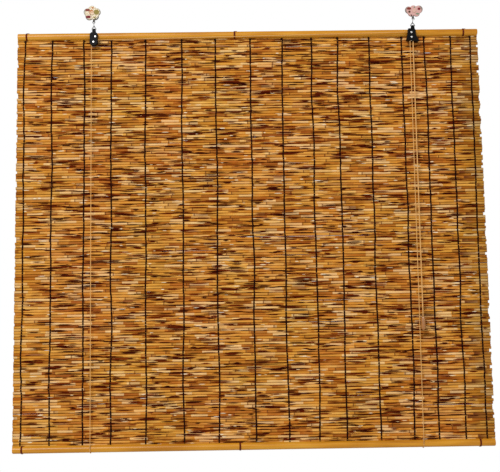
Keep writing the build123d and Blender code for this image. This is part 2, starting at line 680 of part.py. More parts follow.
plate_places = {
    "left": (LEFT_PLATE_X, 0.0, blossom()),
    "right": (RIGHT_PLATE_X, -RIGHT_PLATE_DROP, cloud()),
}
for side, (plate_x, plate_z, face) in plate_places.items():
    wire_x = hook_x(necks[side], LINK_LEAN[side])
    wire = tube(hook_path(wire_x), HOOK_WIRE / 2)
    wire += Pos(*(hook_path(wire_x) @ 1)) * Sphere(HOOK_WIRE / 2)
    socket = tube(hook_path(wire_x), HOOK_WIRE / 2 + BORE_PLAY / 2)
    save(f"{side}_wall_hook_wire", wire)
    save(f"{side}_wall_hook_plate", hook_plate(face, plate_x, plate_z) - socket)
    size = face.bounding_box().size
    pad = RectangleRounded(size.X * 0.62, size.Y * 0.62, size.Y * 0.12)
    save(f"{side}_adhesive_pad", slab(Pos(plate_x, plate_z) * pad, 0, PAD_THICKNESS))


# Lift cords: from a knot in the back lath, down behind the mat, under the bottom rail and up in front


def lift_cord(strand_x, top_z, sheave_depth):
    anchor_x = strand_x - ANCHOR_OFFSET
    under = BOTTOM_RAIL_Z - HALF_HEIGHT - CORD_RADIUS - CORD_GAP
    knot_depth = BACK_FLAT - KNOT_POCKET_DEPTH + KNOT_RADIUS + BORE_PLAY
    path = FilletPolyline(
        (anchor_x, -knot_depth, RAIL_Z),
        (anchor_x, -BACK_RUN, RAIL_Z),
        (strand_x, -BACK_RUN, under),
        (strand_x, -FRONT_RUN, under),
        (strand_x, -sheave_depth, top_z),
        radius=[ANCHOR_BEND_RADIUS, UNDER_BEND_RADIUS, UNDER_BEND_RADIUS],
    )
    knot = Pos(anchor_x, -knot_depth, RAIL_Z) * Sphere(KNOT_RADIUS)
    return cord_tube("lift cord", path) + knot


save("left_lift_cord", lift_cord(LEFT_STRAND_X, STRAND_Z["left"], INNER_SHEAVE))
save("right_lift_cord", lift_cord(RIGHT_STRAND_X, STRAND_Z["right"], OUTER_SHEAVE))


# Cords over the sheaves


def crossing_cord():
    # Taut along the head rail, from the left sheave to the inner right sheave.
    y = -INNER_SHEAVE
    path = FilletPolyline(
        (LEFT_STRAND_X, y, STRAND_Z["left"]),
        (LEFT_STRAND_X, y, crossing_level(LEFT_STRAND_X)),
        (PULL_STRAND_X, y, crossing_level(PULL_STRAND_X)),
        (PULL_STRAND_X, y, STRAND_Z["right"]),
        radius=[LEFT_CORD_RADIUS, RIGHT_CORD_RADIUS],
    )
    return cord_tube("crossing cord", path)


def turning_cord():
    # Half a turn over the outer right sheave.
    y = -OUTER_SHEAVE
    rise = (RIGHT_STRAND_X, y, RIGHT_SHEAVE_Z)
    top = (RIGHT_SHEAVE_X, y, RIGHT_SHEAVE_Z + RIGHT_CORD_RADIUS)
    fall = (PULL_STRAND_X, y, RIGHT_SHEAVE_Z)
    path = Wire([
        Edge.make_line((RIGHT_STRAND_X, y, STRAND_Z["right"]), rise),
        ThreePointArc(rise, top, fall).edge(),
        Edge.make_line(fall, (PULL_STRAND_X, y, STRAND_Z["right"])),
    ])
    return cord_tube("turning cord", path)


def pull_cord(sheave_depth):
    foot = KNOB_TOP - KNOB_HOLE_DEPTH + SEAT_GAP
    top = (PULL_STRAND_X, -sheave_depth, STRAND_Z["right"])
    return cord_tube("pull cord", Wire([Edge.make_line(top, (PULL_STRAND_X, -sheave_depth, foot))]))


save("crossing_cord", crossing_cord())
save("turning_cord", turning_cord())
save("pull_cord_inner", pull_cord(INNER_SHEAVE))
save("pull_cord_outer", pull_cord(OUTER_SHEAVE))


# Pull knob: a slim turned drop with a rounded foot


def pull_knob():
    widest = (KNOB_RADIUS, -KNOB_WIDEST_DROP)
    outline = Curve() + [
        Line((0, 0), (KNOB_NECK_RADIUS, 0)),
        TangentArc(widest, (KNOB_NECK_RADIUS, 0), tangent=(0, 1)),
        TangentArc(widest, (KNOB_FOOT_RADIUS, -KNOB_LENGTH), tangent=(0, -1)),
        Polyline((KNOB_FOOT_RADIUS, -KNOB_LENGTH), (0, -KNOB_LENGTH), (0, 0)),
    ]
    body = revolve(Plane.XZ * make_face(outline), axis=Axis.Z)
    middle = (INNER_SHEAVE + OUTER_SHEAVE) / 2
    knob = Pos(PULL_STRAND_X, -middle, KNOB_TOP) * body
    for depth in (INNER_SHEAVE, OUTER_SHEAVE):
        hole = Cylinder(CORD_RADIUS + KNOB_HOLE_PLAY, KNOB_HOLE_DEPTH)
        knob -= Pos(PULL_STRAND_X, -depth, KNOB_TOP - KNOB_HOLE_DEPTH / 2) * hole
    return knob


save("pull_knob", pull_knob())
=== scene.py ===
import math
import random

import bmesh
import bpy
from mathutils import Matrix, Vector, noise


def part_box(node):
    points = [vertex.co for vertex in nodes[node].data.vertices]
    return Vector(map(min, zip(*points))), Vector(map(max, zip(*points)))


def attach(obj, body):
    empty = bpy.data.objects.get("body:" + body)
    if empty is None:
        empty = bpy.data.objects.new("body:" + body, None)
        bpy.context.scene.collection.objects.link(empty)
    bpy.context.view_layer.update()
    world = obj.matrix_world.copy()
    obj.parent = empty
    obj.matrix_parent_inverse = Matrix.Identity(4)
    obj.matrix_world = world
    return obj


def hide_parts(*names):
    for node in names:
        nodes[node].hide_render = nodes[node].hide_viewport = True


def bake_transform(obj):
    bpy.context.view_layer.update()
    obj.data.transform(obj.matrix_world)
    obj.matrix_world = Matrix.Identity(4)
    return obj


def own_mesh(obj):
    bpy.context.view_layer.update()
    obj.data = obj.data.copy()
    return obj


# Reed roll-up blind on pulley blocks and stick-on wall hooks. Metres, in the frame of the solids:
# X to the right, -Y into the room and Z up. The origin is in the wall plane, midway across the
# blind, at the height of the left hook plate's centre.

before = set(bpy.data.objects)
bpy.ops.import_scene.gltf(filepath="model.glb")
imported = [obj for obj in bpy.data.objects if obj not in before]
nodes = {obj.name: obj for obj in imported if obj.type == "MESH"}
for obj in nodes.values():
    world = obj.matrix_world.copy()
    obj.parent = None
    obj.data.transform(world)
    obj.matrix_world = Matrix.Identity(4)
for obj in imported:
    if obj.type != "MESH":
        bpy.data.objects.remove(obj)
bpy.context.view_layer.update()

# Camera
# The blind is seen from in front of its lower half, almost square on and a little upward, with a
# fairly long lens.

PHOTO_WIDTH = 500
FOCAL_PIXELS = 1000.0
SENSOR_WIDTH = 36.0
FAR_LIMIT = 60.0
CAMERA_PLACE = (-0.0298, -2.1254, -0.7615)
CAMERA_YAW = 0.736
CAMERA_PITCH = 7.087
CAMERA_ROLL = 0.895

camera_data = bpy.data.cameras.new("camera")
camera_data.sensor_width = SENSOR_WIDTH
camera_data.lens = SENSOR_WIDTH * FOCAL_PIXELS / PHOTO_WIDTH
camera_data.clip_end = FAR_LIMIT
camera = bpy.data.objects.new("camera", camera_data)
bpy.context.collection.objects.link(camera)
camera.matrix_world = (
    Matrix.Translation(CAMERA_PLACE)
    @ Matrix.Rotation(math.radians(-CAMERA_YAW), 4, "Z")
    @ Matrix.Rotation(math.radians(90 + CAMERA_PITCH), 4, "X")
    @ Matrix.Rotation(math.radians(-CAMERA_ROLL), 4, "Z")
)
bpy.context.scene.camera = camera

# Studio
# Plain white surround. One large soft light stands behind the camera to the upper left, and a weak
# one at the right fills the shadows. A pale painted floor lies far below the blind.

SURROUND_LIGHT = 0.32
LAMP_SIZE = 1.8
LAMPS = {
    "key_light": ((-1.6, -4.0, 1.7), 165.0),
    "fill_light": ((1.9, -2.4, 0.2), 10.0),
}
LIT_SPOT = Vector((0.0, 0.0, -0.4))
FLOOR_Z = -2.45
FLOOR_Y = -0.5
FLOOR_HALF = 7.0
FLOOR_CLOUD = 1 / 1.5  # 0.7 m
FLOOR_TONES = [(0.3, "#f3f2ef"), (0.7, "#f8f7f5")]


def linear(hex_colour):
    """sRGB hex to the linear colour that a shader takes."""
    channels = [int(hex_colour[i:i + 2], 16) / 255 for i in (1, 3, 5)]
    return [c / 12.92 if c <= 0.04045 else ((c + 0.055) / 1.055) ** 2.4 for c in channels] + [1.0]


def add(tree, kind, inputs=None, ramp=None, into=None, **settings):
    """Adds one node. Inputs are values, hex colours, sockets, or nodes for their first output.
    The new node's own first output leads into the socket that is given."""
    made = tree.nodes.new(kind)
    for name, value in settings.items():
        setattr(made, name, value)
    if ramp:
        stops = made.color_ramp.elements
        while len(stops) < len(ramp):
            stops.new(1.0)
        for stop, (position, colour) in zip(stops, ramp):
            stop.position = position
            stop.color = linear(colour)
    for name, value in (inputs or {}).items():
        socket = made.inputs[name]
        if isinstance(value, bpy.types.Node):
            value = value.outputs[0]
        if isinstance(value, bpy.types.NodeSocket):
            tree.links.new(value, socket)
        else:
            socket.default_value = linear(value) if isinstance(value, str) else value
    if into is not None:
        tree.links.new(made.outputs[0], into)
    return made


def new_material(name, roughness, ior=1.5, metallic=0.0, shine=0.5, **shader):
    """A Principled surface with its constants set on the shader itself. Dry fibre traps most of its
    gloss between its own hairs, so its shine is well below the half that suits a closed surface."""
    material = bpy.data.materials.new(name)
    material.use_nodes = True
    tree = material.node_tree
    surface = tree.nodes["Principled BSDF"]
    constants = {"Roughness": roughness, "Metallic": metallic, "Specular IOR Level": shine}
    if not metallic:
        constants["IOR"] = ior
    for title, value in shader.items():
        constants[title.replace("_", " ").title()] = value
    for title, value in constants.items():
        surface.inputs[title].default_value = value
    return material, tree, surface


def as_mesh(bm, name):
    """Turns a finished bmesh into a mesh."""
    mesh = bpy.data.meshes.new(name)
    bm.to_mesh(mesh)
    bm.free()
    return mesh


def finished(bm, name, material):
    """Turns a finished bmesh into a piece at the origin."""
    mesh = as_mesh(bm, name)
    mesh.materials.append(material)
    piece = bpy.data.objects.new(name, mesh)
    bpy.context.collection.objects.link(piece)
    return piece


world = bpy.data.worlds.new("studio")
bpy.context.scene.world = world
world.use_nodes = True
sky = world.node_tree
rays = add(sky, "ShaderNodeLightPath")
seen = add(sky, "ShaderNodeBackground", {"Color": "#ffffff", "Strength": 1.0})
lit = add(sky, "ShaderNodeBackground", {"Color": "#fffdf8", "Strength": SURROUND_LIGHT})
add(
    sky, "ShaderNodeMixShader", {"Fac": rays.outputs["Is Camera Ray"], 1: lit, 2: seen},
    into=sky.nodes["World Output"].inputs["Surface"],
)
bpy.context.scene.view_settings.view_transform = "Standard"

for title, (place, watts) in LAMPS.items():
    lamp = bpy.data.lights.new(title, "AREA")
    lamp.size = LAMP_SIZE
    lamp.energy = watts
    holder = bpy.data.objects.new(title, lamp)
    bpy.context.collection.objects.link(holder)
    turned = (LIT_SPOT - Vector(place)).to_track_quat("-Z", "Y").to_matrix().to_4x4()
    holder.matrix_world = Matrix.Translation(place) @ turned

floor_paint, tree, surface = new_material("painted_studio_floor", 0.8)
place = add(tree, "ShaderNodeTexCoord").outputs["Object"]
cloudy = add(tree, "ShaderNodeTexNoise", {"Vector": place, "Scale": 1 / FLOOR_CLOUD, "Detail": 2.0})
add(tree, "ShaderNodeValToRGB", {"Fac": cloudy}, FLOOR_TONES, surface.inputs["Base Color"])
bm = bmesh.new()
bmesh.ops.create_grid(bm, x_segments=2, y_segments=2, size=FLOOR_HALF)
bmesh.ops.translate(bm, verts=bm.verts, vec=(0, FLOOR_Y, FLOOR_Z))
finished(bm, "floor", floor_paint)

# Wall hook plates
# Two cast resin plates, a five-petal blossom in ivory and a cloud in pale pink, under a glaze that
# softens their shine. Their colour turns greyer towards the rims. Small blossoms and leaves are pad
# printed on the faces.

GLAZE_CLOUD = 1 / 160  # 6 mm
GLAZE_RIPPLE = 1 / 420  # 2.4 mm
CLOUD_SPREAD = 0.008
RIM_DISTANCE = 1 / 45  # 22 mm from the middle
PLATE_COLOURS = {
    "left": ("#cdbd9c", "#cb9468", "#7c796f"),
    "right": ("#d2a49d", "#d9b19c", "#86766d"),
}


def middle_of(name):
    """Middle of a node's box at rest, as x, y and z."""
    return [(low + high) / 2 for low, high in zip(*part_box(name))]


def cast_resin(name, face, blush, rim, centre):
    """Glazed resin: pale face, a warm blush near the middle, a greyer rim."""
    material, tree, surface = new_material(name, 0.42, 1.54, shine=0.3, coat_weight=0.08)
    place = add(tree, "ShaderNodeTexCoord").outputs["Object"]
    off = add(tree, "ShaderNodeVectorMath", {0: place, 1: centre}, operation="DISTANCE")
    clouds = add(tree, "ShaderNodeTexNoise", {"Vector": place, "Scale": 1 / GLAZE_CLOUD, "Detail": 3.0})
    spread = add(tree, "ShaderNodeMath", {0: clouds, 1: CLOUD_SPREAD}, operation="MULTIPLY")
    reach = add(tree, "ShaderNodeMath", {0: off.outputs["Value"], 1: spread})
    share = add(tree, "ShaderNodeMath", {0: reach, 1: 1 / RIM_DISTANCE}, operation="MULTIPLY")
    tones = [(0.2, blush), (0.48, face), (0.82, face), (0.98, rim)]
    add(tree, "ShaderNodeValToRGB", {"Fac": share}, tones, surface.inputs["Base Color"])
    ripple = add(tree, "ShaderNodeTexNoise", {"Vector": place, "Scale": 1 / GLAZE_RIPPLE, "Detail": 2.0})
    relief = {"Strength": 0.15, "Distance": 0.0004, "Height": ripple}
    add(tree, "ShaderNodeBump", relief, into=surface.inputs["Normal"])
    return material


def dress(names, material):
    """Gives CAD nodes one material in place of their own."""
    for name in names:
        data = nodes[name].data
        data.materials.clear()
        data.materials.append(material)


plate_middles = {}
for side, (face, blush, rim) in PLATE_COLOURS.items():
    plate = f"{side}_wall_hook_plate"
    plate_middles[side] = Vector(middle_of(plate))
    dress([plate], cast_resin(f"cast_resin_{side}_plate", face, blush, rim, plate_middles[side]))

PLATE_FACE_DEPTH = 0.0045
PRINT_THICKNESS = 0.00014
PETAL_SIDES = 12
PETAL_LEAN = 900
INK_PATCH = 1 / 900  # 1.1 mm

# Each ink's colour and its blossoms. A blossom has its plate, its place across and up from the
# plate's middle, the radius of a petal, the number of petals and how flat it is drawn.
PRINTS = {
    "crimson": ("#76101b", [
        ("left", -0.0080, -0.0094, 0.0032, 5, 0.5),
        ("right", 0.0110, 0.0042, 0.0016, 5, 1.0),
    ]),
    "russet": ("#7d3226", [
        ("left", -0.0098, 0.0062, 0.0029, 5, 0.5),
        ("right", -0.0108, 0.0050, 0.0025, 6, 0.6),
    ]),
    "olive": ("#8f7f3a", [
        ("left", 0.0096, 0.0014, 0.0031, 6, 1.0),
        ("left", 0.0056, -0.0104, 0.0015, 3, 0.8),
    ]),
    "amber": ("#bb7442", [
        ("left", -0.0012, 0.0012, 0.0026, 5, 1.2),
        ("left", 0.0012, 0.0112, 0.0014, 4, 0.7),
    ]),
    "umber": ("#553727", [
        ("right", -0.0102, -0.0022, 0.0014, 4, 1.0),
        ("left", -0.0036, -0.0036, 0.0010, 4, 1.0),
    ]),
    "sage": ("#7e8b73", [
        ("right", 0.0074, -0.0070, 0.0022, 4, 0.5),
        ("right", 0.0012, 0.0078, 0.0010, 3, 1.0),
    ]),
}


def printed_blossom(bm, x, z, petal, count, lean, flat):
    """Flat petals round one spot, each a thin disc on the plate's face. Each lies an eighth of its
    thickness above the one before it, so that no two faces share a plane."""
    for index in range(count):
        angle = lean + index * math.tau / count
        depth = PLATE_FACE_DEPTH + index * PRINT_THICKNESS / 8
        spot = Vector((x + math.cos(angle) * petal, -depth, z + math.sin(angle) * petal * flat))
        squeeze = Matrix.Diagonal((1.0, 1.0, flat, 1.0))
        upright = Matrix.Translation(spot) @ squeeze @ Matrix.Rotation(math.radians(90), 4, "X")
        disc = bmesh.ops.create_circle(bm, cap_ends=True, segments=PETAL_SIDES, radius=petal, matrix=upright)
        lifted = bmesh.ops.extrude_face_region(bm, geom=[disc["verts"][0].link_faces[0]])
        corners = [v for v in lifted["geom"] if isinstance(v, bmesh.types.BMVert)]
        bmesh.ops.translate(bm, verts=corners, vec=(0, -PRINT_THICKNESS, 0))


def printing_ink(name, colour):
    """Matt ink that covers a little unevenly, so its tone varies by a quarter either way."""
    ink, tree, surface = new_material(name, 0.55, 1.5, shine=0.2)
    place = add(tree, "ShaderNodeTexCoord").outputs["Object"]
    patchy = add(tree, "ShaderNodeTexNoise", {"Vector": place, "Scale": 1 / INK_PATCH, "Detail": 2.0})
    strength = add(tree, "ShaderNodeMapRange", {"Value": patchy, "To Min": 0.75, "To Max": 1.25})
    tinted = {"Color": colour, "Value": strength}
    add(tree, "ShaderNodeHueSaturation", tinted, into=surface.inputs["Base Color"])
    return ink


for title, (colour, blossoms) in PRINTS.items():
    ink = printing_ink(f"pad_printed_ink_{title}", colour)
    bm = bmesh.new()
    for side, across, up, petal, count, flat in blossoms:
        middle = plate_middles[side]
        printed_blossom(bm, middle.x + across, middle.z + up, petal, count, across * PETAL_LEAN, flat)
    bmesh.ops.recalc_face_normals(bm, faces=bm.faces)
    prints = finished(bm, f"hook_print_{title}", ink)
    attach(prints, "wall_hooks")

# Adhesive pads
# White closed-cell foam tape, die cut and stuck between each plate and the wall. It is dead matt,
# with the cells as a fine pale speckle.

FOAM_CELL = 1 / 1600  # 0.6 mm
FOAM_TONES = [(0.0, "#d9d8d2"), (0.6, "#efeeea")]

foam, tree, surface = new_material("polyethylene_foam_tape", 0.85, 1.5)
place = add(tree, "ShaderNodeTexCoord").outputs["Object"]
cells = add(tree, "ShaderNodeTexVoronoi", {"Vector": place, "Scale": 1 / FOAM_CELL})
add(tree, "ShaderNodeValToRGB", {"Fac": cells}, FOAM_TONES, surface.inputs["Base Color"])
dress(["left_adhesive_pad", "right_adhesive_pad"], foam)

# Hook wires, links and rings
# Drawn steel wire, bent cold and nickel plated: a hook set in each plate, a twisted link with two
# eyes on it and a triangular ring. The plating reflects darkly, broken by faint smudges.

WIRE_SMUDGE = 1 / 700  # 1.4 mm
WIRE_TONES = [(0.3, "#343331"), (0.7, "#5c5a57")]

plated_wire, tree, surface = new_material("nickel_plated_steel_wire", 0.3, metallic=1.0)
place = add(tree, "ShaderNodeTexCoord").outputs["Object"]
smudge = add(tree, "ShaderNodeTexNoise", {"Vector": place, "Scale": 1 / WIRE_SMUDGE, "Detail": 3.0})
add(tree, "ShaderNodeValToRGB", {"Fac": smudge}, WIRE_TONES, surface.inputs["Base Color"])
relief = {"Strength": 0.2, "Distance": 0.0001, "Height": smudge}
add(tree, "ShaderNodeBump", relief, into=surface.inputs["Normal"])
for side in ("left", "right"):
    dress([f"{side}_wall_hook_wire", f"{side}_hanger_link", f"{side}_hanger_ring"], plated_wire)

# Rail laths
# Split bamboo, planed to a half-round and varnished amber. Long fibres run along it, in bands of
# paler and browner cane, under a thin varnish with a soft gloss.

FIBRE_SPACING = 0.0011
FIBRE_STRETCH = (0.012, 1.0, 1.0)
CANE_BAND = 1 / 26  # 38 mm
BAND_STRETCH = (0.3, 2.0, 2.0)
CANE_TONES = [(0.36, "#b2700e"), (0.5, "#d08d1d"), (0.64, "#dfa538")]

cane, tree, surface = new_material(
    "split_bamboo_varnished", 0.36, 1.5, shine=0.3, coat_weight=0.1, coat_roughness=0.2
)
place = add(tree, "ShaderNodeTexCoord").outputs["Object"]
along = add(tree, "ShaderNodeMapping", {"Vector": place, "Scale": FIBRE_STRETCH})
streaks = add(tree, "ShaderNodeTexNoise", {"Vector": along, "Scale": 1 / FIBRE_SPACING, "Detail": 4.0})
slow = add(tree, "ShaderNodeMapping", {"Vector": place, "Scale": BAND_STRETCH})
bands = add(tree, "ShaderNodeTexNoise", {"Vector": slow, "Scale": 1 / CANE_BAND, "Detail": 2.0})
both = add(tree, "ShaderNodeMath", {0: streaks, 1: bands}, operation="ADD")
mean = add(tree, "ShaderNodeMath", {0: both, 1: 0.5}, operation="MULTIPLY")
add(tree, "ShaderNodeValToRGB", {"Fac": mean}, CANE_TONES, surface.inputs["Base Color"])
relief = {"Strength": 0.25, "Distance": 0.0002, "Height": streaks}
add(tree, "ShaderNodeBump", relief, into=surface.inputs["Normal"])
dress(["head_rail_front", "head_rail_back", "bottom_rail_front", "bottom_rail_back"], cane)

# Lashings
# Waxed cotton twine, wound three times round both laths and through the mat, and tied at the upper
# front edge in a knot with two short tails. The wax leaves it dull, and its plies show.

TWINE_RADIUS = 0.00062
TWINE_TURNS = 3
TWINE_SIDES = 6
TURN_SPACING = 0.00118
TURN_STEPS = 36
MAT_DEPTH = 0.0125
TIE_RADIUS = 0.0014
TIE_SHAPE = (1.3, 0.8, 0.9)
TIE_ASIDE = 0.0006
TIE_DEPTH_SHARE = 0.72
TIE_BELOW = 0.0016
TAILS = ((0.0042, 0.0007), (0.0034, -0.0009))
TAIL_ASIDE = 0.0008
TAIL_FORWARD = 0.0002
TAIL_TAPER = 0.7
TWINE_WAVES = 260.0  # a ply every 2.4 mm
TWINE_TONES = [(0.1, "#3a0d05"), (0.8, "#7c2a13")]

twine, tree, surface = new_material("waxed_cotton_twine", 0.6, 1.53, shine=0.12)
place = add(tree, "ShaderNodeTexCoord").outputs["Object"]
twist = {"Vector": place, "Scale": TWINE_WAVES, "Distortion": 1.5}
ply = add(tree, "ShaderNodeTexWave", twist, bands_direction="DIAGONAL")
ply_height = ply.outputs[0]
add(tree, "ShaderNodeValToRGB", {"Fac": ply_height}, TWINE_TONES, surface.inputs["Base Color"])
relief = {"Strength": 0.5, "Distance": 0.0002, "Height": ply_height}
add(tree, "ShaderNodeBump", relief, into=surface.inputs["Normal"])


def wound_twine(bm, x, tall):
    """One round turn of twine about the mat's line."""
    start = Matrix.Translation((x, tall, 0))
    ring = bmesh.ops.create_circle(bm, segments=TWINE_SIDES, radius=TWINE_RADIUS, matrix=start)
    edges = list(dict.fromkeys(e for v in ring["verts"] for e in v.link_edges))
    bmesh.ops.spin(
        bm, geom=edges, cent=(x, 0, 0), axis=(1, 0, 0), angle=math.tau, steps=TURN_STEPS, use_merge=True
    )


def press_turns(bm, low, high, tall):
    """Presses the round turns to the oval outside the laths, which is deeper at one side."""
    front = -low.y - MAT_DEPTH
    back = MAT_DEPTH + high.y
    for v in bm.verts:
        radius = math.hypot(v.co.y, v.co.z)
        angle = math.atan2(v.co.z, v.co.y)
        wide = back if math.cos(angle) > 0 else front
        inset = radius - tall - TWINE_RADIUS
        v.co.y = (wide + inset) * math.cos(angle) - MAT_DEPTH
        v.co.z = (tall + inset) * math.sin(angle) + (low.z + high.z) / 2


def tie_twine(bm, place):
    """The knot and its two tails, each with its reach to the side and its rise."""
    knot = bmesh.ops.create_icosphere(bm, subdivisions=2, radius=TIE_RADIUS)
    bmesh.ops.scale(bm, verts=knot["verts"], vec=TIE_SHAPE)
    bmesh.ops.translate(bm, verts=knot["verts"], vec=place)
    for reach, rise in TAILS:
        tail = bmesh.ops.create_cone(
            bm, cap_ends=True, segments=TWINE_SIDES, radius1=TWINE_RADIUS, radius2=TWINE_RADIUS * TAIL_TAPER,
            depth=reach,
        )
        lean = Vector((reach, 0, rise)).to_track_quat("Z", "Y").to_matrix().to_4x4()
        shift = Matrix.Translation(place + Vector((reach / 2 + TAIL_ASIDE, -TAIL_FORWARD, rise / 2)))
        bmesh.ops.transform(bm, matrix=shift @ lean, verts=tail["verts"])


def lashing(name, body):
    """One lashing in place of its solid band."""
    low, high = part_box(name)
    middle_x = middle_of(name)[0]
    tall = (high.z - low.z) / 2
    bm = bmesh.new()
    for turn in range(TWINE_TURNS):
        wound_twine(bm, middle_x + (turn - 1) * TURN_SPACING, tall)
    press_turns(bm, low, high, tall)
    tie_twine(bm, Vector((middle_x + TIE_ASIDE, low.y * TIE_DEPTH_SHARE, high.z - TIE_BELOW)))
    bmesh.ops.remove_doubles(bm, verts=bm.verts, dist=1e-6)
    bmesh.ops.recalc_face_normals(bm, faces=bm.faces)
    piece = finished(bm, f"{name}_twine", twine)
    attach(piece, body)
    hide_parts(name)


for side in ("left", "middle", "right"):
    lashing(f"head_lashing_{side}", "head")
    lashing(f"bottom_lashing_{side}", "bottom_rail")

# Reeds
# Dried reed stems, cut to the width of the blind and laid side by side. Each bows a little, swells
# at its joints and ends where it was cut. Their skin is straw gold and browner near the joints. Shade
# is painted into the seams between them, in patches and deepest on the undersides.

REED_COUNT = 157
REED_PITCH = 0.0057
REED_RADIUS = 0.0031
REED_FLATNESS = 0.82
REED_SIDES = 8
REED_BOW = 0.0005
REED_SWAY = 0.0001
REED_SWELL = 0.12
MAT_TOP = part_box("reed_mat")[1].z
MAT_REACH = 0.5015
RAGGED_END = 0.005
LEFT_RAGGED = 0.003
BOTTOM_RAIL_Z = middle_of("bottom_rail_front")[2]
WARP_NAMES = sorted(name for name in nodes if name.startswith("warp_cord_"))
WARP_PLACES = [middle_of(name)[0] for name in WARP_NAMES]


def scatter(index, step):
    """Even spread of values from 0 to 1 with no visible order."""
    return (index * step) % 1


# Slits of daylight, each beside a warp cord, where two reeds bow away from each other
SLIT_COUNT = 36
SLIT_MARGIN = 8  # reeds without a slit at the top and at the bottom
SLIT_FROM_WARP = 0.0062
SLIT_HALF = 0.009
SLIT_PUSH = 0.00045

slits = {}
for number in range(1, SLIT_COUNT + 1):
    level = SLIT_MARGIN + int((REED_COUNT - 2 * SLIT_MARGIN) * scatter(number, 0.618))
    warp = WARP_PLACES[1 + int((len(WARP_PLACES) - 2) * scatter(number, 0.732))]
    aside = -SLIT_FROM_WARP if number % 2 else SLIT_FROM_WARP
    slits.setdefault(level, []).append(warp + aside)


def opening(level, x):
    """How far open the slit at this level is at x, from 0 to 1."""
    return max([0.0] + [1 - ((x - middle) / SLIT_HALF) ** 2 for middle in slits.get(level, [])])


def along_reed(index, x, waves, step, layer):
    """Smooth noise along a reed, about so many waves to the metre. The step keeps reeds unlike."""
    return noise.noise(Vector((x * waves, index * step, layer)))


def reed_centre(index, x):
    """Depth and height of a reed's middle at x, with its bow and the slits beside it."""
    bow = REED_BOW * along_reed(index, x, waves=5, step=7.3, layer=0)
    sway = REED_SWAY * along_reed(index, x, waves=7, step=3.1, layer=9)
    z = MAT_TOP - (index + 0.5) * REED_PITCH + bow
    z -= SLIT_PUSH * opening(index, x)
    z += SLIT_PUSH * opening(index + 1, x)
    return -MAT_DEPTH + sway, z


def reed_radius(index, x):
    """Radius of a reed at x, which varies as the stem grew."""
    return REED_RADIUS * (1.0 + REED_SWELL * along_reed(index, x, waves=3, step=5.7, layer=4))


# The skin changes tone slowly along each stem. Over that lie lengths of even tone with sharp ends,
# where leaf once covered the stem. The fibres are drawn coarser than real, to show.
NUMBER_STEP = 0.317
STEM_TONE = 1 / 13  # 77 mm
EVEN_LENGTH = 1 / 30  # 33 mm
EVEN_SHIFT = 71.7
EVEN_SHARE = 0.55
# A patch of the painted shade in the seams between the reeds is about so long.
SEAM_SHADE_PATCH = 1 / 34  # 29 mm
WEATHER_SIZE = 1 / 7  # 143 mm
REED_FIBRE = 1 / 1500  # 0.7 mm
REED_FIBRE_STRETCH = (0.03, 1.0, 1.0)
STRAW_TONES = [(0.3, "#a65a10"), (0.45, "#cd7e22"), (0.56, "#df9638"), (0.7, "#f1ba6c")]
EVEN_TONES = [(0.0, "#7a3006"), (0.16, "#ad5a14"), (0.34, "#d48d2e"), (0.72, "#e3a84e"), (0.92, "#f6d298")]
JOINT_BROWN = "#6a3410"
# Painted shade: the colour drawn into the seams between the reeds.
SEAM_SHADE = "#3c1002"

# Sockets of a colour mix: the share of the upper colour, the lower one, the upper one, the result
SHARE, LOWER, UPPER, MIXED = 0, 6, 7, 2

reed_skin, tree, surface = new_material("dried_reed_stem", 0.55, 1.5, shine=0.13)
place = add(tree, "ShaderNodeTexCoord").outputs["Object"]
across = add(tree, "ShaderNodeSeparateXYZ", {0: place}).outputs["X"]
number = add(tree, "ShaderNodeAttribute", attribute_name="reed_number").outputs["Fac"]
joint = add(tree, "ShaderNodeAttribute", attribute_name="reed_joint").outputs["Fac"]
seam_shade_mask = add(tree, "ShaderNodeAttribute", attribute_name="reed_seam_shade").outputs["Fac"]

stem = add(tree, "ShaderNodeCombineXYZ", {"X": across, "Y": number})
tones = add(tree, "ShaderNodeTexNoise", {"Vector": stem, "Scale": 1 / STEM_TONE, "Detail": 2.0})
straw = add(tree, "ShaderNodeValToRGB", {"Fac": tones}, STRAW_TONES)

even_at = add(tree, "ShaderNodeMath", {0: across, 1: 1 / EVEN_LENGTH}, operation="MULTIPLY")
even_row = add(tree, "ShaderNodeMath", {0: number, 1: EVEN_SHIFT, 2: even_at}, operation="MULTIPLY_ADD")
lengths = add(tree, "ShaderNodeTexVoronoi", {"W": even_row, "Scale": 1.0}, voronoi_dimensions="1D")
length_tone = add(tree, "ShaderNodeSeparateColor", {0: lengths.outputs["Color"]})
even = add(tree, "ShaderNodeValToRGB", {"Fac": length_tone}, EVEN_TONES)
skin = add(tree, "ShaderNodeMix", {SHARE: EVEN_SHARE, LOWER: straw, UPPER: even}, data_type="RGBA")

weather = add(tree, "ShaderNodeTexNoise", {"Vector": place, "Scale": 1 / WEATHER_SIZE, "Detail": 1.0})
hue_range = {"From Min": 0.3, "From Max": 0.7, "To Min": 0.497, "To Max": 0.507}
hue = add(tree, "ShaderNodeMapRange", {"Value": weather, **hue_range})
fine_at = add(tree, "ShaderNodeMapping", {"Vector": place, "Scale": REED_FIBRE_STRETCH})
fine = add(tree, "ShaderNodeTexNoise", {"Vector": fine_at, "Scale": 1 / REED_FIBRE, "Detail": 3.0})
grain_range = {"From Min": 0.3, "From Max": 0.7, "To Min": 0.78, "To Max": 1.14}
grain = add(tree, "ShaderNodeMapRange", {"Value": fine, **grain_range})
grained = add(
    tree, "ShaderNodeHueSaturation", {"Hue": hue, "Color": skin.outputs[MIXED], "Value": grain}
)

